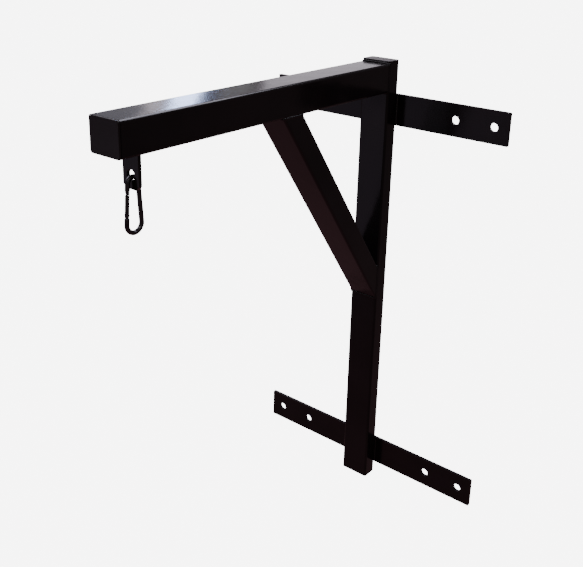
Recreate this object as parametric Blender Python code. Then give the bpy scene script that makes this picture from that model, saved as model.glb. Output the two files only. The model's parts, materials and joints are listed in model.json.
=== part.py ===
"""Steel wall bracket that holds a punch bag away from a wall, with its hanging carabiner.

Frame: metres, +Z up, +X right, +Y into the wall. The origin is the middle of the upper wall
plate's back face, so the wall is the plane Y = 0 and the arm reaches out along -Y.
"""

import math

import bpy
import bmesh
from mathutils import Matrix, Vector

COLLECTION = "bag_wall_bracket"
CUTTER_COLLECTION = "cutters"

GAP = 0.0003  # left between pieces that are welded or touch
OVERRUN = 0.001  # how far a helper solid runs past the face it opens or joins
WELD_DISTANCE = 1e-6
SMOOTH_ANGLE = math.radians(35)
TUBE_WIDTH = 0.050  # along X, the same for post, arm and brace
TUBE_WALL = 0.0025
TUBE_CORNER = 0.0035
LEAST_INNER_CORNER = 0.0005
CORNER_STEPS = 4

PLATE_LENGTH = 0.428
PLATE_HEIGHT = 0.050
PLATE_THICKNESS = 0.005
PLATE_CORNER = 0.0015
PLATE_SPACING = 0.620  # between the two plates' middles
HOLE_RADIUS = 0.0065
HOLE_STEPS = 32
INNER_HOLE_X = 0.127
OUTER_HOLE_X = 0.190

POST_DEPTH = 0.027
POST_TOP_Z = 0.078
POST_BELOW_PLATE = 0.018  # how far the post runs on below the lower plate

ARM_REACH = 0.520  # from the post's front to the arm's tip
ARM_HEIGHT = 0.044
ARM_TOP_Z = 0.074

BRACE_DEPTH = 0.034
BRACE_REACH = 0.247  # outer edge on the arm's underside, from the post's front
BRACE_DROP = 0.343  # lowest edge on the post's front, below the arm's underside
UNCUT_BRACE = 1.5  # times its final length, before it is trimmed to the arm and the post

CAP_FLANGE = 0.0025
CAP_PLUG = 0.012
CAP_CLEARANCE = 0.0004
CAP_EDGE = 0.0008

LUG_SETBACK = 0.037  # from the arm's tip to the lug's middle
LUG_WIDTH = 0.027
LUG_THICKNESS = 0.005
LUG_DROP = 0.045  # below the arm's underside
LUG_CHAMFER = 0.005
LUG_HOLE_RADIUS = 0.0065
LUG_HOLE_BELOW = 0.028  # hole's middle, below the arm's underside

WIRE_RADIUS = 0.003
CARABINER_LENGTH = 0.073
TOP_BEND_RADIUS = 0.0078  # of the wire's centre line
BOTTOM_BEND_RADIUS = 0.0110
ARC_STEPS = 12

GATE_RADIUS = 0.0026
GATE_SIDES = 20
GATE_OVERHANG = 0.0028  # below the hinge axis
HINGE_UP_LEG = 0.012  # from the bottom bend to the hinge axis
NOSE_DOWN_LEG = 0.0085  # from the top bend to the nose's end
TONGUE_THICKNESS = 0.0020
TONGUE_WIDTH = 0.0046
TONGUE_PAST_HINGE = 0.0024
SHOULDER_CLEARANCE = 0.0001
SLOT_CLEARANCE = 0.0003
HINGE_SLOT = 0.0045
RIVET_RADIUS = 0.0010
RIVET_CLEARANCE = 0.0002
NOSE_TONGUE_LENGTH = 0.0042
NOSE_TONGUE_WIDTH = 0.0032
LATCH_PIN_RADIUS = 0.0008
LATCH_PIN_DOWN = 0.0030
LATCH_PIN_CLEARANCE = 0.0002
NOTCH_CLEARANCE = 0.0005
GATE_TOP_CLEARANCE = 0.0004
NOSE_SLOT = 0.0050
SPRING_BORE_RADIUS = 0.0016
SPRING_WIRE_RADIUS = 0.0002
SPRING_RADIUS = 0.0012
SPRING_LENGTH = 0.0080
SPRING_TURNS = 7
SPRING_TURN_STEPS = 12

POST_FRONT_Y = -(PLATE_THICKNESS + GAP + POST_DEPTH)
ARM_UNDERSIDE_Z = ARM_TOP_Z - ARM_HEIGHT
POST_BOTTOM_Z = -(PLATE_SPACING + PLATE_HEIGHT / 2 + POST_BELOW_PLATE)
LUG_Y = POST_FRONT_Y - ARM_REACH + LUG_SETBACK
LUG_HOLE_Z = ARM_UNDERSIDE_Z - LUG_HOLE_BELOW


def clear_scene():
    for obj in list(bpy.data.objects):
        bpy.data.objects.remove(obj, do_unlink=True)


def collection(name, rendered=True):
    group = bpy.data.collections.new(name)
    bpy.context.scene.collection.children.link(group)
    group.hide_render = not rendered
    return group


def paint(name, colour, roughness, metallic):
    """A plain Principled material in the piece's own colour."""
    material = bpy.data.materials.new(name)
    material.use_nodes = True
    shader = material.node_tree.nodes["Principled BSDF"]
    shader.inputs["Base Color"].default_value = (*colour, 1)
    shader.inputs["Roughness"].default_value = roughness
    shader.inputs["Metallic"].default_value = metallic
    return material


def add(name, mesh, group, material=None, smooth=False):
    obj = bpy.data.objects.new(name, mesh)
    group.objects.link(obj)
    if material:
        mesh.materials.clear()
        mesh.materials.append(material)
    if smooth:
        mesh.shade_smooth()
        mesh.set_sharp_from_angle(angle=SMOOTH_ANGLE)
    return obj


def mesh_from_curve(name, curve):
    """Turns a filled curve into one welded mesh whose faces point out."""
    holder = bpy.data.objects.new(name + "_curve", curve)
    bpy.context.scene.collection.objects.link(holder)
    graph = bpy.context.evaluated_depsgraph_get()
    mesh = bpy.data.meshes.new_from_object(holder.evaluated_get(graph), depsgraph=graph)
    bpy.data.objects.remove(holder, do_unlink=True)
    bm = bmesh.new()
    bm.from_mesh(mesh)
    bmesh.ops.remove_doubles(bm, verts=bm.verts, dist=WELD_DISTANCE)
    bmesh.ops.recalc_face_normals(bm, faces=bm.faces)
    bm.to_mesh(mesh)
    bm.free()
    mesh.name = name
    return mesh


def poly_spline(curve, points, closed):
    spline = curve.splines.new("POLY")
    spline.points.add(len(points) - 1)
    for slot, point in zip(spline.points, points):
        slot.co = (*point, 1)
    spline.use_cyclic_u = closed


def outline_mesh(name, outlines, thickness):
    """A flat outline, with the holes that follow it, as thick as given, lying in XY."""
    curve = bpy.data.curves.new(name, "CURVE")
    curve.dimensions = "2D"
    curve.fill_mode = "BOTH"
    curve.extrude = thickness / 2
    for outline in outlines:
        poly_spline(curve, [(x, y, 0) for x, y in outline], closed=True)
    return mesh_from_curve(name, curve)


def wire_mesh(name, points, radius, resolution=2):
    curve = bpy.data.curves.new(name, "CURVE")
    curve.dimensions = "3D"
    curve.bevel_depth = radius
    curve.bevel_resolution = resolution
    curve.use_fill_caps = True
    poly_spline(curve, points, closed=False)
    return mesh_from_curve(name, curve)


def rounded_rectangle(width, height, radius):
    points = []
    for quarter, (side_x, side_y) in enumerate([(1, 1), (-1, 1), (-1, -1), (1, -1)]):
        for step in range(CORNER_STEPS + 1):
            angle = math.pi / 2 * (quarter + step / CORNER_STEPS)
            points.append((
                side_x * (width / 2 - radius) + radius * math.cos(angle),
                side_y * (height / 2 - radius) + radius * math.sin(angle),
            ))
    return points


def circle(centre_x, centre_y, radius, steps=HOLE_STEPS):
    turn = 2 * math.pi / steps
    return [
        (centre_x + radius * math.cos(i * turn), centre_y + radius * math.sin(i * turn))
        for i in range(steps)
    ]


def tube_outlines(depth):
    inner_corner = max(TUBE_CORNER - TUBE_WALL, LEAST_INNER_CORNER)
    return [
        rounded_rectangle(TUBE_WIDTH, depth, TUBE_CORNER),
        rounded_rectangle(TUBE_WIDTH - 2 * TUBE_WALL, depth - 2 * TUBE_WALL, inner_corner),
    ]


def box_mesh(name, low, high):
    low, high = Vector(low), Vector(high)
    bm = bmesh.new()
    bmesh.ops.create_cube(bm, size=1)
    size = high - low
    bmesh.ops.scale(bm, vec=size, verts=bm.verts)
    bmesh.ops.translate(bm, vec=(low + high) / 2, verts=bm.verts)
    mesh = bpy.data.meshes.new(name)
    bm.to_mesh(mesh)
    bm.free()
    return mesh


def rod_mesh(name, radius, low, high, axis="Z", sides=GATE_SIDES):
    """A round bar between two places on an axis through the origin."""
    bm = bmesh.new()
    bmesh.ops.create_cone(
        bm, cap_ends=True, segments=sides, radius1=radius, radius2=radius, depth=high - low
    )
    bmesh.ops.translate(bm, vec=(0, 0, (low + high) / 2), verts=bm.verts)
    if axis == "X":
        bmesh.ops.rotate(bm, matrix=Matrix.Rotation(math.pi / 2, 3, "Y"), verts=bm.verts)
    mesh = bpy.data.meshes.new(name)
    bm.to_mesh(mesh)
    bm.free()
    return mesh


def combine(obj, mesh, operation, cutters, matrix=None):
    """Adds a Boolean with a helper solid, placed like obj unless a matrix is given."""
    helper = add(f"{obj.name}_{operation.lower()}_{len(obj.modifiers)}", mesh, cutters)
    helper.matrix_world = matrix if matrix is not None else obj.matrix_basis
    helper.hide_render = True
    helper.display_type = "WIRE"
    modifier = obj.modifiers.new(operation.title(), "BOOLEAN")
    modifier.operation = operation
    modifier.solver = "EXACT"
    modifier.object = helper


def wall_plates(parts, steel):
    holes = [
        circle(side * distance, 0, HOLE_RADIUS)
        for side in (-1, 1)
        for distance in (INNER_HOLE_X, OUTER_HOLE_X)
    ]
    border = rounded_rectangle(PLATE_LENGTH, PLATE_HEIGHT, PLATE_CORNER)
    for name, height in (("upper_wall_plate", 0), ("lower_wall_plate", -PLATE_SPACING)):
        plate = add(name, outline_mesh(name, [border, *holes], PLATE_THICKNESS), parts, steel)
        plate.rotation_euler.x = math.pi / 2
        plate.location = (0, -PLATE_THICKNESS / 2, height)


def post(parts, steel):
    low = POST_BOTTOM_Z + CAP_FLANGE + GAP
    high = POST_TOP_Z - CAP_FLANGE - GAP
    mesh = outline_mesh("post_tube", tube_outlines(POST_DEPTH), high - low)
    tube = add("post_tube", mesh, parts, steel)
    tube.location = (0, POST_FRONT_Y + POST_DEPTH / 2, (low + high) / 2)


def arm(parts, steel):
    back = POST_FRONT_Y - GAP
    front = POST_FRONT_Y - ARM_REACH + CAP_FLANGE + GAP
    mesh = outline_mesh("arm_tube", tube_outlines(ARM_HEIGHT), back - front)
    tube = add("arm_tube", mesh, parts, steel)
    tube.rotation_euler.x = math.pi / 2
    tube.location = (0, (back + front) / 2, ARM_TOP_Z - ARM_HEIGHT / 2)


def brace(parts, cutters, steel):
    """The diagonal: a tube cut off flat against the arm's underside and the post's front."""
    slope = math.atan2(BRACE_REACH, BRACE_DROP)
    length = math.hypot(BRACE_REACH, BRACE_DROP)
    mesh = outline_mesh("brace_tube", tube_outlines(BRACE_DEPTH), UNCUT_BRACE * length)
    tube = add("brace_tube", mesh, parts, steel)
    tube.rotation_euler.x = slope
    tube.location = (
        0,
        POST_FRONT_Y - BRACE_REACH / 2 + math.cos(slope) * BRACE_DEPTH / 2,
        ARM_UNDERSIDE_Z - BRACE_DROP / 2 + math.sin(slope) * BRACE_DEPTH / 2,
    )
    side = TUBE_WIDTH
    above = box_mesh(
        "above_brace",
        (-side, POST_FRONT_Y - 2 * length, ARM_UNDERSIDE_Z - GAP),
        (side, POST_FRONT_Y + length, ARM_UNDERSIDE_Z + length),
    )
    behind = box_mesh(
        "behind_brace",
        (-side, POST_FRONT_Y - GAP, ARM_UNDERSIDE_Z - 2 * length),
        (side, POST_FRONT_Y + length, ARM_UNDERSIDE_Z + length / 2),
    )
    combine(tube, above, "DIFFERENCE", cutters, Matrix())
    combine(tube, behind, "DIFFERENCE", cutters, Matrix())


def end_caps(parts, cutters, plastic):
    """Plastic plugs, each a flange over the tube's end with a plug inside its bore."""
    half_turn = math.pi
    places = (
        ("post_top_cap", POST_DEPTH, (0, POST_FRONT_Y + POST_DEPTH / 2, POST_TOP_Z), 0),
        ("post_bottom_cap", POST_DEPTH, (0, POST_FRONT_Y + POST_DEPTH / 2, POST_BOTTOM_Z), half_turn),
        (
            "arm_end_cap",
            ARM_HEIGHT,
            (0, POST_FRONT_Y - ARM_REACH, ARM_TOP_Z - ARM_HEIGHT / 2),
            math.pi / 2,
        ),
    )
    for name, depth, place, turn in places:
        flange = outline_mesh(name, tube_outlines(depth)[:1], CAP_FLANGE)
        flange.transform(Matrix.Translation((0, 0, -CAP_FLANGE / 2)))
        cap = add(name, flange, parts, plastic)
        cap.location = place
        cap.rotation_euler.x = turn
        inset = 2 * (TUBE_WALL + CAP_CLEARANCE)
        plug_length = CAP_PLUG + CAP_FLANGE / 2
        plug_outline = rounded_rectangle(TUBE_WIDTH - inset, depth - inset, TUBE_CORNER - TUBE_WALL)
        plug = outline_mesh(name + "_plug", [plug_outline], plug_length)
        plug.transform(Matrix.Translation((0, 0, -CAP_FLANGE / 2 - plug_length / 2)))
        combine(cap, plug, "UNION", cutters)


def hanger_lug(parts, steel):
    """The tab under the arm's tip; its hole's middle is the object's origin."""
    top = LUG_HOLE_BELOW - GAP
    bottom = LUG_HOLE_BELOW - LUG_DROP
    half = LUG_WIDTH / 2
    border = [
        (half, top),
        (-half, top),
        (-half, bottom + LUG_CHAMFER),
        (-half + LUG_CHAMFER, bottom),
        (half - LUG_CHAMFER, bottom),
        (half, bottom + LUG_CHAMFER),
    ]
    mesh = outline_mesh("hanger_lug", [border, circle(0, 0, LUG_HOLE_RADIUS)], LUG_THICKNESS)
    lug = add("hanger_lug", mesh, parts, steel)
    lug.rotation_euler.x = math.pi / 2
    lug.location = (0, LUG_Y, LUG_HOLE_Z)


class CarabinerLine:
    """The wire's centre line in its own YZ plane, measured from the swing axis."""

    def __init__(self):
        inner = TOP_BEND_RADIUS - WIRE_RADIUS
        sag = TOP_BEND_RADIUS - math.sqrt(inner**2 - (LUG_THICKNESS / 2) ** 2)
        self.pivot = Vector((0, LUG_Y, LUG_HOLE_Z - LUG_HOLE_RADIUS + sag + GAP))
        self.top = Vector((0, 0, -TOP_BEND_RADIUS))
        self.bottom = Vector((0, 0, 2 * WIRE_RADIUS - CARABINER_LENGTH + BOTTOM_BEND_RADIUS))
        self.lean = math.asin((BOTTOM_BEND_RADIUS - TOP_BEND_RADIUS) / (self.top - self.bottom).length)
        self.outward = Vector((0, -math.cos(self.lean), math.sin(self.lean)))
        self.up_leg = Vector((0, math.sin(self.lean), math.cos(self.lean)))
        self.leg_foot = self.bottom + self.outward * BOTTOM_BEND_RADIUS
        self.leg_head = self.top + self.outward * TOP_BEND_RADIUS
        self.hinge = self.leg_foot + self.up_leg * HINGE_UP_LEG
        self.shoulder = math.hypot(GATE_RADIUS, GATE_OVERHANG) + SHOULDER_CLEARANCE
        self.nose = self.leg_head - self.up_leg * NOSE_DOWN_LEG
        self.nose_height = (self.nose - self.hinge).dot(self.up_leg)

    def gate_matrix(self):
        """Puts a piece made along +Z from the hinge axis on the front leg."""
        place = Matrix.Translation(self.pivot + self.hinge)
        return place @ Matrix.Rotation(-self.lean, 4, "X")

    def arc(self, centre, radius, start, end):
        points = []
        for step in range(ARC_STEPS + 1):
            angle = start + (end - start) * step / ARC_STEPS
            points.append(centre + Vector((0, radius * math.cos(angle), radius * math.sin(angle))))
        return points

    def points(self):
        front = math.pi - self.lean
        back = self.lean
        under = self.arc(self.bottom, BOTTOM_BEND_RADIUS, front, back + 2 * math.pi)
        over = self.arc(self.top, TOP_BEND_RADIUS, back, front)
        shoulder = self.hinge - self.up_leg * self.shoulder
        return [shoulder, *under, *over, self.nose]


def carabiner(parts, cutters, zinc):
    line = CarabinerLine()
    frame = line.gate_matrix()
    wire = wire_mesh("carabiner_body", line.points(), WIRE_RADIUS)
    body = add("carabiner_body", wire, parts, zinc, smooth=True)
    body.location = line.pivot
    half = TONGUE_THICKNESS / 2
    hinge_tongue = box_mesh(
        "hinge_tongue",
        (-half, -TONGUE_WIDTH / 2, -line.shoulder - OVERRUN),
        (half, TONGUE_WIDTH / 2, TONGUE_PAST_HINGE),
    )
    nose_tongue = box_mesh(
        "nose_tongue",
        (-half, -NOSE_TONGUE_WIDTH / 2, line.nose_height - NOSE_TONGUE_LENGTH),
        (half, NOSE_TONGUE_WIDTH / 2, line.nose_height + OVERRUN),
    )
    pin_height = line.nose_height - LATCH_PIN_DOWN
    reach = WIRE_RADIUS + OVERRUN
    rivet_hole = rod_mesh("rivet_hole", RIVET_RADIUS + RIVET_CLEARANCE, -reach, reach, "X")
    pin_hole = rod_mesh("pin_hole", LATCH_PIN_RADIUS + LATCH_PIN_CLEARANCE, -reach, reach, "X")
    pin_hole.transform(Matrix.Translation((0, 0, pin_height)))
    combine(body, hinge_tongue, "UNION", cutters, frame)
    combine(body, nose_tongue, "UNION", cutters, frame)
    combine(body, rivet_hole, "DIFFERENCE", cutters, frame)
    combine(body, pin_hole, "DIFFERENCE", cutters, frame)

    rivet = rod_mesh("gate_hinge_rivet", RIVET_RADIUS, -GATE_RADIUS, GATE_RADIUS, "X")
    add("gate_hinge_rivet", rivet, parts, zinc, smooth=True).matrix_world = frame
    pin = rod_mesh("gate_latch_pin", LATCH_PIN_RADIUS, -GATE_RADIUS, GATE_RADIUS, "X")
    pin_place = frame @ Matrix.Translation((0, 0, pin_height))
    add("gate_latch_pin", pin, parts, zinc, smooth=True).matrix_world = pin_place


def gate(parts, cutters, zinc, spring_steel):
    line = CarabinerLine()
    frame = line.gate_matrix()
    top = line.nose_height - GATE_TOP_CLEARANCE
    bar = rod_mesh("carabiner_gate", GATE_RADIUS, -GATE_OVERHANG, top)
    swing_bar = add("carabiner_gate", bar, parts, zinc, smooth=True)
    swing_bar.matrix_world = frame
    slot = TONGUE_THICKNESS / 2 + SLOT_CLEARANCE
    reach = 2 * GATE_RADIUS
    pin_height = line.nose_height - LATCH_PIN_DOWN
    notch = LATCH_PIN_RADIUS + NOTCH_CLEARANCE
    bore_top = HINGE_SLOT + SPRING_LENGTH + OVERRUN
    cuts = (
        box_mesh("hinge_slot", (-slot, -reach, -reach), (slot, reach, HINGE_SLOT)),
        box_mesh("nose_slot", (-slot, -reach, top - NOSE_SLOT), (slot, reach, top + OVERRUN)),
        box_mesh("pin_notch", (-reach, -reach, pin_height - notch), (reach, notch, pin_height + notch)),
        rod_mesh("rivet_bore", RIVET_RADIUS + RIVET_CLEARANCE, -reach, reach, "X"),
        rod_mesh("spring_bore", SPRING_BORE_RADIUS, HINGE_SLOT - OVERRUN, bore_top),
    )
    for cut in cuts:
        combine(swing_bar, cut, "DIFFERENCE", cutters, frame)

    steps = SPRING_TURNS * SPRING_TURN_STEPS
    start = HINGE_SLOT + SPRING_WIRE_RADIUS
    coil = []
    for step in range(steps + 1):
        angle = 2 * math.pi * step / SPRING_TURN_STEPS
        rise = start + (SPRING_LENGTH - SPRING_WIRE_RADIUS) * step / steps
        coil.append((SPRING_RADIUS * math.cos(angle), SPRING_RADIUS * math.sin(angle), rise))
    wire = wire_mesh("gate_spring", coil, SPRING_WIRE_RADIUS, resolution=1)
    spring = add("gate_spring", wire, parts, spring_steel, smooth=True)
    spring.matrix_world = frame


def main():
    clear_scene()
    parts = collection(COLLECTION)
    cutters = collection(CUTTER_COLLECTION, rendered=False)
    steel = paint("black_gloss_paint", (0.012, 0.012, 0.014), 0.22, 0.0)
    plastic = paint("black_plastic", (0.016, 0.015, 0.016), 0.38, 0.0)
    zinc = paint("dark_plated_steel", (0.10, 0.10, 0.11), 0.30, 1.0)
    spring_steel = paint("spring_steel", (0.42, 0.42, 0.44), 0.30, 1.0)
    wall_plates(parts, steel)
    post(parts, steel)
    arm(parts, steel)
    brace(parts, cutters, steel)
    end_caps(parts, cutters, plastic)
    hanger_lug(parts, steel)
    carabiner(parts, cutters, zinc)
    gate(parts, cutters, zinc, spring_steel)


main()
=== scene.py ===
"""Finished look of a punch bag wall bracket.

Makes the painted steelwork with its weld beads, the plastic plugs, the spring hook and the studio.
All sizes are in metres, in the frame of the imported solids.
"""

import json
import math

import bmesh
import bpy
from bpy.props import FloatProperty, FloatVectorProperty, IntProperty, PointerProperty
from mathutils import Matrix, Vector


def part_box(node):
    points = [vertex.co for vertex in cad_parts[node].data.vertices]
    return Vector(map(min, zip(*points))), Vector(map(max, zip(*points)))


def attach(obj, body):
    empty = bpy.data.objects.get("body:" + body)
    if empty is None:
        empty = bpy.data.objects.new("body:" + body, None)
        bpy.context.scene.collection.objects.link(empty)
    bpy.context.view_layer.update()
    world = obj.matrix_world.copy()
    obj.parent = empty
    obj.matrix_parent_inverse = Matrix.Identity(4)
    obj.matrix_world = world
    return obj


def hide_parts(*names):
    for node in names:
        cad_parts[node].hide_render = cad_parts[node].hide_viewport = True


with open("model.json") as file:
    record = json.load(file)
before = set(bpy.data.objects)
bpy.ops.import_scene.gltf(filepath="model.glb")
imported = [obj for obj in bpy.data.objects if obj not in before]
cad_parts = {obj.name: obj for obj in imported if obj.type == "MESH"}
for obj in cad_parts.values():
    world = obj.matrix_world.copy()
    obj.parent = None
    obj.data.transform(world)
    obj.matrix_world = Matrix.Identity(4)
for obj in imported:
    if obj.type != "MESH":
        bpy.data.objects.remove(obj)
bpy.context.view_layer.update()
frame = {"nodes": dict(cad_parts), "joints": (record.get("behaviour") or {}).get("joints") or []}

bl_info = {
    "name": "Punch Bag Wall Bracket",
    "version": (1, 0, 0),
    "blender": (4, 5, 0),
    "location": "3D Viewport > Sidebar > Bracket",
    "description": "Makes the finished surfaces of a steel wall bracket and its spring hook",
    "category": "Object",
}

UP = Vector((0, 0, 1))

PAINTED_TUBES = (
    ("post_tube", "painted_post"),
    ("arm_tube", "painted_arm"),
    ("brace_tube", "painted_brace"),
)
PAINTED_FLATS = (
    ("upper_wall_plate", "painted_upper_plate"),
    ("lower_wall_plate", "painted_lower_plate"),
    ("hanger_lug", "painted_lug"),
)
PLUGS = (
    ("arm_end_cap", "arm_end_plug"),
    ("post_top_cap", "post_top_plug"),
    ("post_bottom_cap", "post_bottom_plug"),
)

# The brace: its own depth, its outer edge out along the arm and its lowest edge down the post.
BRACE_DEPTH = 0.034
BRACE_REACH = 0.247
BRACE_DROP = 0.343

# Where the middle of a weld bead lies, as shares of its radius from the steel's face.
BEAD_SUNK_IN_SIDE = 0.62
BEAD_PROUD_OF_POST = 0.15
BEAD_PROUD_OF_FLAT = 0.10
# How far from a seam's corner its bead starts to turn, and where the turn's middle lies between.
BEAD_CORNER = 0.0030
BEAD_CORNER_MIDDLE = 0.29
RIPPLE_STEPS = 6
BEAD_SIDES = 12

# The spring hook's wire.
WIRE_RADIUS = 0.003
HOOK_LENGTH = 0.073
TOP_BEND = 0.0078
BOTTOM_BEND = 0.0110
NOSE_DOWN_LEG = 0.0085
SHOULDER_BELOW_HINGE = 0.0039
BEND_STEPS = 40
# How far back from each end of the wire it is, and its share of the full radius there.
WIRE_END_ROUNDING = ((0.0, 0.72), (0.0003, 0.88), (0.0008, 0.97), (0.0014, 1.0))

# The hook's flat tongues, its gate and its rivet.
TONGUE_HALF_THICKNESS = 0.0010
TONGUE_EDGE = 0.0003
TONGUE_OVERLAP = 0.001
HINGE_TONGUE_HALF_WIDTH = 0.0023
HINGE_TONGUE_PAST_AXIS = 0.0024
NOSE_TONGUE_HALF_WIDTH = 0.0016
NOSE_TONGUE_LENGTH = 0.0042
GATE_RADIUS = 0.0026
GATE_EDGE = 0.00022
COIL_EDGE = 0.00002
PIN_EDGE = 0.0002
RIVET_DOME_RADIUS = 0.0017
RIVET_DOME_RISE = 0.0007

# Angles and distances for cleaning meshes.
FLAT_ANGLE = math.radians(0.6)
BEVEL_ANGLE = math.radians(40)
SHARP_ANGLE = math.radians(50)
SOLID_MERGE = 5e-6
SWEEP_MERGE = 1e-7

# The studio: two points to aim at, then the lights.
ARM_TIP = (0, -0.55, 0.07)
BRACKET_MIDDLE = (0, -0.25, -0.1)
# name, place, aim, width, height, share of the key power, colour
SOFT_BOXES = (
    ("over_camera", (1.3, -1.9, 1.9), BRACKET_MIDDLE, 1.6, 1.2, 1.0, (1.0, 0.97, 0.95)),
    ("front_edge_light", (-2.1, -0.9, 1.7), ARM_TIP, 1.6, 1.2, 3.6, (0.92, 0.88, 1.0)),
    ("top_edge_light", (-0.2, 1.3, 2.1), ARM_TIP, 3.0, 0.8, 5.5, (0.88, 0.86, 1.0)),
    ("low_left_fill", (-1.75, -2.7, -0.95), ARM_TIP, 1.6, 1.2, 0.18, (0.85, 0.74, 1.0)),
)
STRIP_DISTANCE = 3.0
STRIP_HEIGHT = 0.7
# name, Y of its reflection on the arm's top, turn and rise towards it in degrees, width, power, colour
STRIPS = (
    ("violet_strip", -0.170, 36.0, 9.8, 0.68, 1.70, (0.96, 0.90, 1.0)),
    ("dim_strip", -0.345, 42.8, 11.2, 0.16, 0.11, (0.95, 0.97, 1.0)),
    ("bright_strip", -0.430, 46.3, 11.9, 0.12, 3.6, (0.52, 0.64, 1.0)),
    ("tip_strip", -0.525, 50.6, 12.7, 0.36, 0.30, (0.84, 0.86, 1.0)),
    ("rose_strip", -0.475, 48.2, 12.2, 0.12, 0.30, (1.0, 0.88, 0.92)),
)

# What the gloss paint mirrors and is lit by, in place of the white backdrop.
MIRRORED_GLOW = 0.06
MIRRORED_SKY = (0.66, 0.56, 0.60, 1)
MIRRORED_SKY_STRENGTH = 0.16
FLOOR_SIZE = 30


# ---------------------------------------------------------------- settings


class BracketSizes(bpy.types.PropertyGroup):
    edge_radius: FloatProperty(
        name="Edge radius",
        description="Rounding that paint leaves on the cut edges of flat bar",
        default=0.0006,
        unit="LENGTH",
        precision=5,
    )
    plug_edge_radius: FloatProperty(
        name="Plug edge radius",
        description="Rounding round the face of each plastic plug",
        default=0.0009,
        unit="LENGTH",
        precision=5,
    )
    weld_radius: FloatProperty(
        name="Weld radius",
        description="Half width of a weld bead",
        default=0.0021,
        unit="LENGTH",
        precision=5,
    )
    weld_pitch: FloatProperty(
        name="Weld ripple pitch",
        description="Distance from one ripple of a weld bead to the next",
        default=0.0017,
        unit="LENGTH",
        precision=5,
    )
    weld_ripple: FloatProperty(
        name="Weld ripple depth",
        description="How much of its radius a bead loses between two ripples",
        default=0.16,
        subtype="FACTOR",
    )
    wire_sides: IntProperty(
        name="Wire smoothness",
        description="Bevel resolution of the hook's round wire",
        default=7,
    )


class BracketColours(bpy.types.PropertyGroup):
    paint: FloatVectorProperty(
        name="Paint",
        description="Gloss paint on the steel",
        subtype="COLOR",
        default=(0.0075, 0.0062, 0.0070),
    )
    paint_bloom: FloatVectorProperty(
        name="Paint bloom",
        description="The slightly paler tone that the paint drifts to in patches",
        subtype="COLOR",
        default=(0.0150, 0.0105, 0.0120),
    )
    plug: FloatVectorProperty(
        name="Plug",
        description="Moulded plastic of the end plugs",
        subtype="COLOR",
        default=(0.0130, 0.0095, 0.0105),
    )
    wire: FloatVectorProperty(
        name="Hook",
        description="Dark plated steel of the spring hook",
        subtype="COLOR",
        default=(0.115, 0.112, 0.120),
    )
    floor: FloatVectorProperty(
        name="Floor",
        description="The floor's warm, dark tone in what the gloss paint mirrors",
        subtype="COLOR",
        default=(0.27, 0.07, 0.09),
    )


class BracketStudio(bpy.types.PropertyGroup):
    azimuth: FloatProperty(
        name="Azimuth",
        description="Camera's turn round the bracket, from straight in front",
        default=math.radians(38.406),
        subtype="ANGLE",
    )
    elevation: FloatProperty(
        name="Elevation",
        description="Camera's height above the horizon",
        default=math.radians(19.213),
        subtype="ANGLE",
    )
    roll: FloatProperty(
        name="Roll",
        description="Camera's tilt about its own line of sight",
        default=math.radians(1.479),
        subtype="ANGLE",
    )
    distance: FloatProperty(
        name="Distance",
        description="From the camera to the point it circles",
        default=1.4572,
        unit="LENGTH",
    )
    target: FloatVectorProperty(
        name="Target",
        description="The point that the camera circles",
        default=(-0.1451, -0.0323, -0.1984),
        subtype="XYZ",
        unit="LENGTH",
    )
    lens: FloatProperty(name="Lens", description="Focal length in millimetres", default=52.14)
    shift_x: FloatProperty(name="Shift X", description="Sideways lens shift", default=-0.010)
    shift_y: FloatProperty(name="Shift Y", description="Upright lens shift", default=-0.126)
    key_power: FloatProperty(
        name="Key power",
        description="Power of the large soft light over the camera",
        default=9.0,
        subtype="POWER",
    )
    backdrop: FloatProperty(
        name="Backdrop",
        description="How bright the floor and the surroundings look to the camera",
        default=7.0,
    )
    floor_drop: FloatProperty(
        name="Floor drop",
        description="From the upper wall plate down to the floor",
        default=2.0,
        unit="LENGTH",
    )


# ---------------------------------------------------------------- shader maths


class Term:
    """A shader socket that takes part in ordinary arithmetic."""

    def __init__(self, finish, socket):
        self.finish = finish
        self.socket = socket

    def _math(self, operation, first, second):
        node = self.finish.node("ShaderNodeMath", {"operation": operation}, {0: first, 1: second})
        return Term(self.finish, node.outputs[0])

    def __add__(self, other):
        return self._math("ADD", self, other)

    def __mul__(self, other):
        return self._math("MULTIPLY", self, other)

    __radd__ = __add__
    __rmul__ = __mul__


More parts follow.
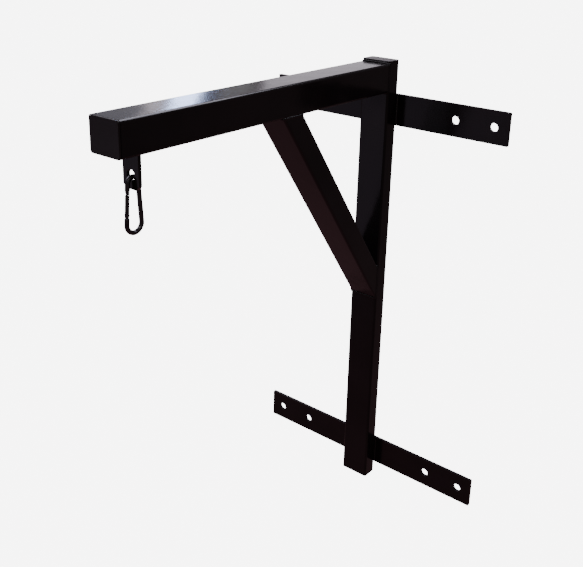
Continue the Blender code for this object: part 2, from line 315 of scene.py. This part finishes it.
class Finish:
    """One Principled material under construction."""

    def __init__(self, name, metallic=0.0, specular=0.5):
        self.material = bpy.data.materials.new(name)
        self.material.use_nodes = True
        self.tree = self.material.node_tree
        self.shader = self.tree.nodes["Principled BSDF"]
        self.shader.inputs["Metallic"].default_value = metallic
        self.shader.inputs["Specular IOR Level"].default_value = specular
        self.place = self.node("ShaderNodeTexCoord").outputs["Object"]

    def node(self, kind, settings=None, values=None):
        """Adds a node: settings are set first, then each socket's number or link."""
        node = self.tree.nodes.new(kind)
        for name, value in (settings or {}).items():
            setattr(node, name, value)
        for socket, value in (values or {}).items():
            self.feed(node.inputs[socket], value)
        return node

    def feed(self, target, value):
        source = value.socket if isinstance(value, Term) else value
        if isinstance(source, bpy.types.NodeSocket):
            self.tree.links.new(source, target)
        else:
            target.default_value = value

    def noise(self, scale, detail=2.0, roughness=0.5, place=None):
        values = {
            "Vector": place or self.place,
            "Scale": scale,
            "Detail": detail,
            "Roughness": roughness,
        }
        return Term(self, self.node("ShaderNodeTexNoise", None, values).outputs["Fac"])

    def stretched(self, factors):
        """Object coordinates scaled along each axis, for grain that runs one way."""
        mapping = self.node("ShaderNodeMapping", None, {"Vector": self.place, "Scale": factors})
        return mapping.outputs["Vector"]

    def remap(self, term, low, high, to_low, to_high):
        values = {
            "Value": term,
            "From Min": low,
            "From Max": high,
            "To Min": to_low,
            "To Max": to_high,
        }
        mapped = self.node("ShaderNodeMapRange", {"clamp": True}, values)
        return Term(self, mapped.outputs["Result"])

    def blend(self, factor, first, second):
        """Mixes two colours; a Mix node's colour sockets have the places 6, 7 and 2."""
        values = {"Factor": factor, 6: (*first, 1), 7: (*second, 1)}
        return self.node("ShaderNodeMix", {"data_type": "RGBA"}, values).outputs[2]

    def bump(self, height, strength, distance):
        values = {"Height": height, "Strength": strength, "Distance": distance}
        return self.node("ShaderNodeBump", None, values).outputs["Normal"]

    def finish_with(self, **sockets):
        for name, value in sockets.items():
            self.feed(self.shader.inputs[name.replace("_", " ")], value)
        return self.material


def gloss_paint():
    """Sprayed gloss black: soft flow-out waves, fine orange peel and a little settled dust."""
    colours = bpy.context.scene.bracket_colours
    finish = Finish("gloss_black_paint", specular=0.36)
    flow = finish.noise(38.0, detail=2.0)
    peel = finish.noise(620.0, detail=2.0, roughness=0.45)
    patches = finish.noise(9.0, detail=4.0)
    specks = finish.remap(finish.noise(2400.0, detail=1.0), 0.70, 0.80, 0.0, 1.0)
    tone = finish.remap(patches, 0.35, 0.70, 0.0, 1.0)
    colour = finish.blend(tone, colours.paint, colours.paint_bloom)
    roughness = 0.10 + 0.07 * patches + 0.05 * peel + 0.12 * specks
    height = 0.75 * flow + 0.10 * peel + 0.03 * specks
    normal = finish.bump(height, 0.16, 0.0022)
    return finish.finish_with(Base_Color=colour, Roughness=roughness, Normal=normal)


def moulded_plastic():
    """Satin black plastic with a fine spark-eroded grain."""
    colours = bpy.context.scene.bracket_colours
    finish = Finish("moulded_black_plastic", specular=0.40)
    grain = finish.noise(1500.0, detail=3.0, roughness=0.6)
    scuffs = finish.noise(45.0, detail=5.0, roughness=0.65)
    rubbed = finish.remap(scuffs, 0.55, 0.80, 0.0, 1.0)
    colour = finish.blend(rubbed, colours.plug, tuple(1.5 * part for part in colours.plug))
    roughness = 0.26 + 0.10 * grain + 0.10 * rubbed
    normal = finish.bump(grain, 0.12, 0.0004)
    return finish.finish_with(Base_Color=colour, Roughness=roughness, Normal=normal)


def plated_wire():
    """Dark plated steel: drawing lines along the wire and darker, duller patches of plating."""
    colours = bpy.context.scene.bracket_colours
    finish = Finish("dark_plated_steel", metallic=1.0)
    drawn = finish.noise(1.0, detail=3.0, place=finish.stretched((1800.0, 1800.0, 120.0)))
    clouds = finish.noise(160.0, detail=4.0)
    dull = finish.remap(clouds, 0.40, 0.68, 0.0, 1.0)
    dark = tuple(0.55 * part for part in colours.wire)
    colour = finish.blend(dull, colours.wire, dark)
    roughness = 0.20 + 0.12 * dull + 0.08 * drawn
    normal = finish.bump(drawn, 0.10, 0.0002)
    return finish.finish_with(Base_Color=colour, Roughness=roughness, Normal=normal)


def spring_wire():
    """Bare hardened spring steel with drawing marks."""
    finish = Finish("bare_spring_steel", metallic=1.0)
    marks = finish.noise(1.0, detail=2.0, place=finish.stretched((3000.0, 3000.0, 300.0)))
    colour = finish.blend(marks, (0.36, 0.36, 0.38), (0.52, 0.52, 0.54))
    return finish.finish_with(Base_Color=colour, Roughness=0.22 + 0.12 * marks)


def floor_paint():
    """Matt floor that glows white to the camera and is warm and dark in what the paint mirrors."""
    scene = bpy.context.scene
    backdrop = scene.bracket_studio.backdrop
    finish = Finish("studio_floor", specular=0.0)
    mottle = finish.noise(2.0, detail=3.0)
    darker = tuple(0.985 * part for part in scene.bracket_colours.floor)
    colour = finish.blend(mottle, scene.bracket_colours.floor, darker)
    seen = Term(finish, finish.node("ShaderNodeLightPath").outputs["Is Camera Ray"])
    glow = MIRRORED_GLOW + (backdrop - MIRRORED_GLOW) * seen
    return finish.finish_with(
        Base_Color=colour,
        Roughness=0.9,
        Emission_Color=(1.0, 1.0, 1.0, 1.0),
        Emission_Strength=glow,
    )


FINISHES = {
    "black_gloss_paint": gloss_paint,
    "black_plastic": moulded_plastic,
    "dark_plated_steel": plated_wire,
    "spring_steel": spring_wire,
}


def finish_for(slot):
    """The material of a slot, made the first time it is asked for."""
    key = "finish_" + slot
    material = bpy.data.materials.get(key)
    if material is None:
        material = FINISHES[slot]()
        material.name = key
    return material


# ---------------------------------------------------------------- mesh helpers


def new_piece(name, mesh):
    piece = bpy.data.objects.new(name, mesh)
    bpy.context.scene.collection.objects.link(piece)
    return piece


def evaluated_mesh(piece):
    graph = bpy.context.evaluated_depsgraph_get()
    return bpy.data.meshes.new_from_object(piece.evaluated_get(graph), depsgraph=graph)


def bake_modifiers(piece):
    """Leaves the piece with the plain mesh that its modifiers made."""
    mesh = evaluated_mesh(piece)
    piece.modifiers.clear()
    piece.data = mesh


def close_sweep(mesh):
    """Merges a swept mesh's doubled points and turns its faces outwards."""
    bm = bmesh.new()
    bm.from_mesh(mesh)
    bmesh.ops.remove_doubles(bm, verts=bm.verts, dist=SWEEP_MERGE)
    bmesh.ops.recalc_face_normals(bm, faces=bm.faces)
    bm.to_mesh(mesh)
    bm.free()


def smooth(piece):
    """Smooth shading that keeps the big flat faces flat."""
    piece.data.shade_smooth()
    piece.data.set_sharp_from_angle(angle=SHARP_ANGLE)
    normals = piece.modifiers.new("flat faces", "WEIGHTED_NORMAL")
    normals.keep_sharp = True
    bake_modifiers(piece)


def refined(node, name, edge_radius):
    """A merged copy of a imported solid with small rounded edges."""
    mesh = frame["nodes"][node].data.copy()
    bm = bmesh.new()
    bm.from_mesh(mesh)
    bmesh.ops.remove_doubles(bm, verts=bm.verts, dist=SOLID_MERGE)
    bmesh.ops.dissolve_limit(bm, angle_limit=FLAT_ANGLE, verts=bm.verts, edges=bm.edges)
    bm.to_mesh(mesh)
    bm.free()
    piece = new_piece(name, mesh)
    bevel = piece.modifiers.new("soft edges", "BEVEL")
    bevel.width = edge_radius
    bevel.segments = 3
    bevel.limit_method = "ANGLE"
    bevel.angle_limit = BEVEL_ANGLE
    bake_modifiers(piece)
    smooth(piece)
    return piece


def join_meshes(name, meshes):
    bm = bmesh.new()
    for mesh in meshes:
        bm.from_mesh(mesh)
    joined = bpy.data.meshes.new(name)
    bm.to_mesh(joined)
    bm.free()
    return joined


def settle(piece, slot, body, *nodes):
    """Gives a finished piece its material, its body and the solids that it stands for."""
    piece.data.materials.clear()
    piece.data.materials.append(finish_for(slot))
    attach(piece, body)
    if nodes:
        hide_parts(*nodes)
    return piece


def swept_wire(name, points, radii, radius, resolution):
    """A round wire along a path, its ends closed and its thickness following radii."""
    curve = bpy.data.curves.new(name, "CURVE")
    curve.dimensions = "3D"
    curve.bevel_depth = radius
    curve.bevel_resolution = resolution
    curve.use_fill_caps = True
    spline = curve.splines.new("POLY")
    spline.points.add(len(points) - 1)
    for slot, point, share in zip(spline.points, points, radii):
        slot.co = (*point, 1)
        slot.radius = share
    holder = new_piece(name, curve)
    mesh = evaluated_mesh(holder)
    bpy.data.objects.remove(holder, do_unlink=True)
    bpy.data.curves.remove(curve)
    close_sweep(mesh)
    return mesh


def rounded_block(name, low, high, edge, matrix):
    """A small box with rounded edges, put in place by a matrix."""
    low, high = Vector(low), Vector(high)
    bm = bmesh.new()
    bmesh.ops.create_cube(bm, size=1)
    bmesh.ops.scale(bm, vec=high - low, verts=bm.verts)
    bmesh.ops.translate(bm, vec=(low + high) / 2, verts=bm.verts)
    bmesh.ops.bevel(bm, geom=bm.edges, offset=edge, segments=3, profile=0.5, affect="EDGES")
    mesh = bpy.data.meshes.new(name)
    bm.to_mesh(mesh)
    bm.free()
    mesh.transform(matrix)
    return mesh


# ---------------------------------------------------------------- weld beads


def bead_tree(material):
    """Geometry Nodes: a curve becomes a weld bead with even ripples."""
    tree = bpy.data.node_groups.new("weld_bead", "GeometryNodeTree")
    face = tree.interface
    face.new_socket("Geometry", in_out="INPUT", socket_type="NodeSocketGeometry")
    for name in ("Radius", "Pitch", "Ripple"):
        face.new_socket(name, in_out="INPUT", socket_type="NodeSocketFloat")
    face.new_socket("Geometry", in_out="OUTPUT", socket_type="NodeSocketGeometry")
    nodes, links = tree.nodes, tree.links

    def math_node(operation, first, second=0.0):
        node = nodes.new("ShaderNodeMath")
        node.operation = operation
        for socket, value in zip(node.inputs, (first, second)):
            if isinstance(value, bpy.types.NodeSocket):
                links.new(value, socket)
            else:
                socket.default_value = value
        return node.outputs[0]

    given = nodes.new("NodeGroupInput")
    resample = nodes.new("GeometryNodeResampleCurve")
    resample.mode = "LENGTH"
    links.new(given.outputs["Geometry"], resample.inputs["Curve"])
    step = math_node("DIVIDE", given.outputs["Pitch"], RIPPLE_STEPS)
    links.new(step, resample.inputs["Length"])
    along = nodes.new("GeometryNodeSplineParameter").outputs["Length"]
    turns = math_node("DIVIDE", along, given.outputs["Pitch"])
    wave = math_node("SINE", math_node("MULTIPLY", turns, math.pi))
    valley = math_node("SUBTRACT", 1.0, math_node("ABSOLUTE", wave))
    dip = math_node("MULTIPLY", valley, given.outputs["Ripple"])
    thickness = nodes.new("GeometryNodeSetCurveRadius")
    links.new(resample.outputs["Curve"], thickness.inputs["Curve"])
    links.new(math_node("SUBTRACT", 1.0, dip), thickness.inputs["Radius"])
    profile = nodes.new("GeometryNodeCurvePrimitiveCircle")
    profile.inputs["Resolution"].default_value = BEAD_SIDES
    links.new(given.outputs["Radius"], profile.inputs["Radius"])
    sweep = nodes.new("GeometryNodeCurveToMesh")
    sweep.inputs["Fill Caps"].default_value = True
    links.new(thickness.outputs["Curve"], sweep.inputs["Curve"])
    links.new(profile.outputs["Curve"], sweep.inputs["Profile Curve"])
    radius = nodes.new("GeometryNodeInputRadius")
    links.new(radius.outputs["Radius"], sweep.inputs["Scale"])
    shade = nodes.new("GeometryNodeSetShadeSmooth")
    links.new(sweep.outputs["Mesh"], shade.inputs["Geometry"])
    realise = nodes.new("GeometryNodeRealizeInstances")
    links.new(shade.outputs["Geometry"], realise.inputs["Geometry"])
    paint = nodes.new("GeometryNodeSetMaterial")
    paint.inputs["Material"].default_value = material
    links.new(realise.outputs["Geometry"], paint.inputs["Geometry"])
    result = nodes.new("NodeGroupOutput")
    links.new(paint.outputs["Geometry"], result.inputs["Geometry"])
    return tree


def set_tree_input(modifier, name, value):
    for item in modifier.node_group.interface.items_tree:
        if item.item_type == "SOCKET" and item.in_out == "INPUT" and item.name == name:
            modifier[item.identifier] = value


def rounded_loop(corners):
    """A closed seam through four corners, each rounded off."""
    points = []
    for index, point in enumerate(corners):
        following = corners[(index + 1) % len(corners)]
        before = (corners[index - 1] - point).normalized() * BEAD_CORNER
        after = (following - point).normalized() * BEAD_CORNER
        middle = point + BEAD_CORNER_MIDDLE * (before + after)
        points += [point + before, middle, point + after]
    return points + points[:1]


def rectangle(half_width, low, high):
    """Corners (x, other) of a seam that is as wide on both sides of the middle."""
    return (-half_width, low), (half_width, low), (half_width, high), (-half_width, high)


def weld_paths():
    """The beads' lines: each is a list of points along a seam, sunk a little into the steel."""
    post_low, post_high = map(Vector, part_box("post_tube"))
    arm_low, arm_high = map(Vector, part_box("arm_tube"))
    brace_low, _ = map(Vector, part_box("brace_tube"))
    lug_low, lug_high = map(Vector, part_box("hanger_lug"))
    radius = bpy.context.scene.bracket_sizes.weld_radius
    side = post_high.x - BEAD_SUNK_IN_SIDE * radius
    off_post = BEAD_PROUD_OF_POST * radius
    off_flat = BEAD_PROUD_OF_FLAT * radius
    front = post_low.y - off_post
    under = arm_low.z - off_post

    slope = math.atan2(BRACE_REACH, BRACE_DROP)
    outer = brace_low.y - off_flat
    inner = outer + BRACE_DEPTH / math.cos(slope)
    foot = brace_low.z
    knee = foot + BRACE_DEPTH / math.sin(slope)
    arm_seam = rectangle(side, under, arm_high.z + off_post)
    brace_top_seam = rectangle(side, outer, inner)
    brace_foot_seam = rectangle(side, foot, knee)
    lug_seam = rectangle(lug_high.x + off_flat, lug_low.y - off_flat, lug_high.y + off_flat)
    paths = [
        rounded_loop([Vector((x, front, z)) for x, z in arm_seam]),
        rounded_loop([Vector((x, y, under)) for x, y in brace_top_seam]),
        rounded_loop([Vector((x, front, z)) for x, z in brace_foot_seam]),
        rounded_loop([Vector((x, y, arm_low.z)) for x, y in lug_seam]),
    ]

    inset = side - BEAD_CORNER
    for plate in ("upper_wall_plate", "lower_wall_plate"):
        plate_low, plate_high = map(Vector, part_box(plate))
        for x in (post_low.x, post_high.x):
            start = Vector((x, plate_low.y, plate_low.z + BEAD_CORNER))
            end = Vector((x, plate_low.y, plate_high.z - BEAD_CORNER))
            paths.append([start, end])
        for z in (plate_low.z, plate_high.z):
            start = Vector((-inset, post_high.y, z))
            end = Vector((inset, post_high.y, z))
            paths.append([start, end])
    return paths


# ---------------------------------------------------------------- spring hook


class HookLine:
    """Where the spring hook's bends, hinge and nose are, worked out from its swing axis."""

    def __init__(self):
        joints = {joint["name"]: joint for joint in frame["joints"]}
        self.pivot = Vector(joints["carabiner_swing"]["pos_m"])
        self.hinge = Vector(joints["gate_hinge"]["pos_m"])
        self.top = self.pivot - UP * TOP_BEND
        self.bottom = self.pivot + UP * (2 * WIRE_RADIUS - HOOK_LENGTH + BOTTOM_BEND)
        self.lean = math.asin((BOTTOM_BEND - TOP_BEND) / (self.top - self.bottom).length)
        self.outward = Vector((0, -math.cos(self.lean), math.sin(self.lean)))
        self.up_leg = Vector((0, math.sin(self.lean), math.cos(self.lean)))
        self.nose = self.top + self.outward * TOP_BEND - self.up_leg * NOSE_DOWN_LEG
        self.nose_height = (self.nose - self.hinge).dot(self.up_leg)

    def leg_matrix(self):
        return Matrix.Translation(self.hinge) @ Matrix.Rotation(-self.lean, 4, "X")

    def arc(self, centre, radius, start, end):
        for step in range(BEND_STEPS + 1):
            angle = start + (end - start) * step / BEND_STEPS
            yield centre + Vector((0, radius * math.cos(angle), radius * math.sin(angle)))

    def wire(self):
        """(points, radii): the ends are turned down over a short, rounded length."""
        front = math.pi - self.lean
        back = self.lean
        shoulder = self.hinge - self.up_leg * SHOULDER_BELOW_HINGE
        points = [shoulder - self.up_leg * down for down, _ in WIRE_END_ROUNDING]
        radii = [share for _, share in WIRE_END_ROUNDING]
        middle = [
            *self.arc(self.bottom, BOTTOM_BEND, front, back + 2 * math.pi),
            *self.arc(self.top, TOP_BEND, back, front),
        ]
        points += middle
        radii += [1.0] * len(middle)
        points += [self.nose + self.up_leg * up for up, _ in reversed(WIRE_END_ROUNDING)]
        radii += [share for _, share in reversed(WIRE_END_ROUNDING)]
        return points, radii


def hook_tongues(line, place):
    """The flat tongues at the hinge and the nose, which the gate's slots fit over."""
    thin = TONGUE_HALF_THICKNESS
    hinge_tongue = rounded_block(
        "hinge_tongue",
        (-thin, -HINGE_TONGUE_HALF_WIDTH, -SHOULDER_BELOW_HINGE - TONGUE_OVERLAP),
        (thin, HINGE_TONGUE_HALF_WIDTH, HINGE_TONGUE_PAST_AXIS),
        TONGUE_EDGE,
        place,
    )
    nose_tongue = rounded_block(
        "nose_tongue",
        (-thin, -NOSE_TONGUE_HALF_WIDTH, line.nose_height - NOSE_TONGUE_LENGTH),
        (thin, NOSE_TONGUE_HALF_WIDTH, line.nose_height + TONGUE_OVERLAP),
        TONGUE_EDGE,
        place,
    )
    return hinge_tongue, nose_tongue


def rivet_dome(side, place):
    """The low round head on one side of the gate's rivet."""
    bm = bmesh.new()
    bmesh.ops.create_uvsphere(bm, u_segments=28, v_segments=14, radius=1)
    sizes = (RIVET_DOME_RISE, RIVET_DOME_RADIUS, RIVET_DOME_RADIUS)
    bmesh.ops.scale(bm, vec=sizes, verts=bm.verts)
    bmesh.ops.translate(bm, vec=(side * GATE_RADIUS, 0, 0), verts=bm.verts)
    dome = bpy.data.meshes.new("rivet_dome")
    bm.to_mesh(dome)
    bm.free()
    dome.transform(place)
    return dome


# ---------------------------------------------------------------- operators


class BRACKET_OT_tubes(bpy.types.Operator):
    """Makes the painted post, arm and brace"""

    bl_idname = "bracket.tubes"
    bl_label = "Painted tubes"

    def execute(self, context):
        edge = context.scene.bracket_sizes.edge_radius / 2
        for node, name in PAINTED_TUBES:
            settle(refined(node, name, edge), "black_gloss_paint", "bracket", node)
        return {"FINISHED"}


class BRACKET_OT_flats(bpy.types.Operator):
    """Makes the two painted wall plates and the lug under the arm"""

    bl_idname = "bracket.flats"
    bl_label = "Plates and lug"

    def execute(self, context):
        edge = context.scene.bracket_sizes.edge_radius
        for node, name in PAINTED_FLATS:
            settle(refined(node, name, edge), "black_gloss_paint", "bracket", node)
        return {"FINISHED"}


class BRACKET_OT_plugs(bpy.types.Operator):
    """Makes the plastic plugs in the tubes' ends"""

    bl_idname = "bracket.plugs"
    bl_label = "End plugs"

    def execute(self, context):
        edge = context.scene.bracket_sizes.plug_edge_radius
        for node, name in PLUGS:
            settle(refined(node, name, edge), "black_plastic", "bracket", node)
        return {"FINISHED"}


class BRACKET_OT_welds(bpy.types.Operator):
    """Runs a painted weld bead along every seam of the steelwork"""

    bl_idname = "bracket.welds"
    bl_label = "Weld beads"

    def execute(self, context):
        sizes = context.scene.bracket_sizes
        curve = bpy.data.curves.new("weld_lines", "CURVE")
        curve.dimensions = "3D"
        for points in weld_paths():
            spline = curve.splines.new("POLY")
            spline.points.add(len(points) - 1)
            for slot, point in zip(spline.points, points):
                slot.co = (*point, 1)
        lines = new_piece("weld_lines", curve)
        modifier = lines.modifiers.new("weld bead", "NODES")
        modifier.node_group = bead_tree(finish_for("black_gloss_paint"))
        set_tree_input(modifier, "Radius", sizes.weld_radius)
        set_tree_input(modifier, "Pitch", sizes.weld_pitch)
        set_tree_input(modifier, "Ripple", sizes.weld_ripple)
        mesh = evaluated_mesh(lines)
        bpy.data.objects.remove(lines, do_unlink=True)
        close_sweep(mesh)
        mesh.shade_smooth()
        beads = new_piece("weld_beads", mesh)
        if not mesh.polygons:
            raise RuntimeError("the weld beads came out empty")
        settle(beads, "black_gloss_paint", "bracket")
        return {"FINISHED"}


class BRACKET_OT_hook(bpy.types.Operator):
    """Makes the spring hook's bent wire, its rivet and its latch pin"""

    bl_idname = "bracket.hook"
    bl_label = "Hook body"

    def execute(self, context):
        line = HookLine()
        place = line.leg_matrix()
        points, radii = line.wire()
        resolution = context.scene.bracket_sizes.wire_sides
        wire = swept_wire("hook_wire", points, radii, WIRE_RADIUS, resolution)
        tongues = hook_tongues(line, place)
        body = new_piece("hook_body", join_meshes("hook_body", [wire, *tongues]))
        smooth(body)
        settle(body, "dark_plated_steel", "carabiner", "carabiner_body")

        rivet = refined("gate_hinge_rivet", "gate_rivet", PIN_EDGE)
        domes = [rivet_dome(side, place) for side in (-1, 1)]
        rivet.data = join_meshes("gate_rivet", [rivet.data, *domes])
        smooth(rivet)
        settle(rivet, "dark_plated_steel", "carabiner", "gate_hinge_rivet")
        pin = refined("gate_latch_pin", "latch_pin", PIN_EDGE)
        settle(pin, "dark_plated_steel", "carabiner", "gate_latch_pin")
        return {"FINISHED"}


class BRACKET_OT_gate(bpy.types.Operator):
    """Makes the hook's gate and the spring inside it"""

    bl_idname = "bracket.gate"
    bl_label = "Hook gate"

    def execute(self, context):
        gate = refined("carabiner_gate", "hook_gate", GATE_EDGE)
        settle(gate, "dark_plated_steel", "gate", "carabiner_gate")
        spring = refined("gate_spring", "gate_coil", COIL_EDGE)
        settle(spring, "spring_steel", "gate", "gate_spring")
        return {"FINISHED"}


def soft_box(name, place, aim, width, height, power, colour):
    """A rectangular soft light that faces a point and stays out of the picture itself."""
    data = bpy.data.lights.new(name, "AREA")
    data.shape = "RECTANGLE"
    data.size = width
    data.size_y = height
    data.energy = power
    data.color = colour
    lamp = new_piece(name, data)
    lamp.location = place
    lamp.rotation_euler = (Vector(aim) - Vector(place)).to_track_quat("-Z", "Y").to_euler()
    lamp.visible_camera = False
    return lamp


class BRACKET_OT_stage(bpy.types.Operator):
    """Sets the floor, the surroundings, the lights and the camera"""

    bl_idname = "bracket.stage"
    bl_label = "Studio"

    def floor(self, studio):
        bm = bmesh.new()
        bmesh.ops.create_grid(bm, x_segments=1, y_segments=1, size=FLOOR_SIZE)
        mesh = bpy.data.meshes.new("studio_floor")
        bm.to_mesh(mesh)
        bm.free()
        mesh.transform(Matrix.Translation((0, 0, -studio.floor_drop)))
        floor = new_piece("studio_floor", mesh)
        mesh.materials.append(floor_paint())

    def surroundings(self, scene):
        """White to look at, but darker in what the gloss paint mirrors and is lit by."""
        world = bpy.data.worlds.new("studio")
        world.use_nodes = True
        tree = world.node_tree
        tree.nodes.clear()
        seen = tree.nodes.new("ShaderNodeBackground")
        seen.inputs["Color"].default_value = (1, 1, 1, 1)
        seen.inputs["Strength"].default_value = scene.bracket_studio.backdrop
        mirrored = tree.nodes.new("ShaderNodeBackground")
        mirrored.inputs["Color"].default_value = MIRRORED_SKY
        mirrored.inputs["Strength"].default_value = MIRRORED_SKY_STRENGTH
        path = tree.nodes.new("ShaderNodeLightPath")
        mix = tree.nodes.new("ShaderNodeMixShader")
        tree.links.new(path.outputs["Is Camera Ray"], mix.inputs["Fac"])
        tree.links.new(mirrored.outputs[0], mix.inputs[1])
        tree.links.new(seen.outputs[0], mix.inputs[2])
        output = tree.nodes.new("ShaderNodeOutputWorld")
        tree.links.new(mix.outputs[0], output.inputs["Surface"])
        scene.world = world

    def lights(self, studio):
        """Soft boxes for the shapes and edges, and low strips that the arm's top mirrors as bands."""
        for name, place, aim, width, height, share, colour in SOFT_BOXES:
            soft_box(name, place, aim, width, height, share * studio.key_power, colour)
        arm_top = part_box("arm_tube")[1][2]
        for name, along, turn, rise, width, power, colour in STRIPS:
            turn, rise = math.radians(turn), math.radians(rise)
            mirrored_at = Vector((0, along, arm_top))
            away = Vector((
                -math.sin(turn) * math.cos(rise),
                math.cos(turn) * math.cos(rise),
                math.sin(rise),
            ))
            place = mirrored_at + STRIP_DISTANCE * away
            soft_box(name, place, mirrored_at, width, STRIP_HEIGHT, power, colour)

    def camera(self, scene, studio):
        data = bpy.data.cameras.new("studio_camera")
        data.sensor_width = 36
        data.lens = studio.lens
        data.shift_x = studio.shift_x
        data.shift_y = studio.shift_y
        data.clip_end = 100
        turn, rise, roll = studio.azimuth, studio.elevation, studio.roll
        back = Vector((
            math.sin(turn) * math.cos(rise),
            -math.cos(turn) * math.cos(rise),
            math.sin(rise),
        ))
        right = (-back).cross(UP).normalized()
        top = right.cross(-back)
        across = right * math.cos(roll) + top * math.sin(roll)
        upright = top * math.cos(roll) - right * math.sin(roll)
        matrix = Matrix((across, upright, back)).transposed().to_4x4()
        matrix.translation = Vector(studio.target) + back * studio.distance
        camera = new_piece("studio_camera", data)
        camera.matrix_world = matrix
        scene.camera = camera

    def execute(self, context):
        scene = context.scene
        studio = scene.bracket_studio
        self.floor(studio)
        self.surroundings(scene)
        self.lights(studio)
        self.camera(scene, studio)
        return {"FINISHED"}


class BRACKET_PT_panel(bpy.types.Panel):
    """Lists the bracket's steps and settings"""

    bl_idname = "BRACKET_PT_panel"
    bl_label = "Wall bracket"
    bl_space_type = "VIEW_3D"
    bl_region_type = "UI"
    bl_category = "Bracket"

    def draw(self, context):
        layout = self.layout
        for group in SETTINGS:
            settings = getattr(context.scene, group)
            box = layout.box()
            for name in settings.__annotations__:
                box.prop(settings, name)
        for operator in OPERATORS:
            layout.operator(operator.bl_idname)


OPERATORS = (
    BRACKET_OT_tubes,
    BRACKET_OT_flats,
    BRACKET_OT_plugs,
    BRACKET_OT_welds,
    BRACKET_OT_hook,
    BRACKET_OT_gate,
    BRACKET_OT_stage,
)
SETTINGS = {
    "bracket_sizes": BracketSizes,
    "bracket_colours": BracketColours,
    "bracket_studio": BracketStudio,
}


def register():
    for name, group in SETTINGS.items():
        bpy.utils.register_class(group)
        setattr(bpy.types.Scene, name, PointerProperty(type=group))
    for item in (*OPERATORS, BRACKET_PT_panel):
        bpy.utils.register_class(item)


def unregister():
    for item in reversed((*OPERATORS, BRACKET_PT_panel)):
        bpy.utils.unregister_class(item)
    for name, group in reversed(SETTINGS.items()):
        delattr(bpy.types.Scene, name)
        bpy.utils.unregister_class(group)


def main():
    register()
    for operator in OPERATORS:
        family, action = operator.bl_idname.split(".")
        getattr(getattr(bpy.ops, family), action)()


if __name__ == "__main__":
    main()
